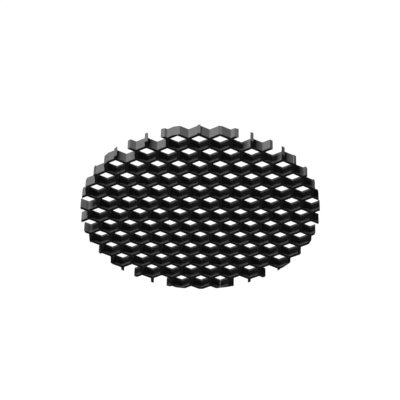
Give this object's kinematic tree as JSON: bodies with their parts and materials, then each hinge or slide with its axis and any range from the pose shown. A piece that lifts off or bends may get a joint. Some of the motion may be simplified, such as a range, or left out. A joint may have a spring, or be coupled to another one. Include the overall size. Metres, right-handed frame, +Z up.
{
  "type": "honeycomb grid",
  "caption": "Round frameless honeycomb grid that narrows the beam of a small studio light.",
  "frame": {"origin": "centre of the round disc, halfway between its front and back faces", "axes": "Y is the light's axis: -Y is the front, which faces the subject, and +Y is the back, which faces the lamp. +Z is up and runs along the strips. +X is to the right seen from the front."},
  "size_m": [0.075, 0.0036, 0.0742],
  "materials": {
    "black_strip": "matte black"
  },
  "bodies": {
    "root": {"strip_01": "black_strip", "strip_02": "black_strip", "strip_03": "black_strip", "strip_04": "black_strip", "strip_05": "black_strip", "strip_06": "black_strip", "strip_07": "black_strip", "strip_08": "black_strip", "strip_09": "black_strip", "strip_10": "black_strip", "strip_11": "black_strip", "strip_12": "black_strip", "strip_13": "black_strip", "strip_14": "black_strip", "strip_15": "black_strip", "strip_16": "black_strip", "strip_17": "black_strip", "strip_18": "black_strip", "strip_19": "black_strip", "strip_20": "black_strip", "strip_21": "black_strip", "strip_22": "black_strip", "strip_23": "black_strip", "strip_24": "black_strip"}
  },
  "joints": []
}
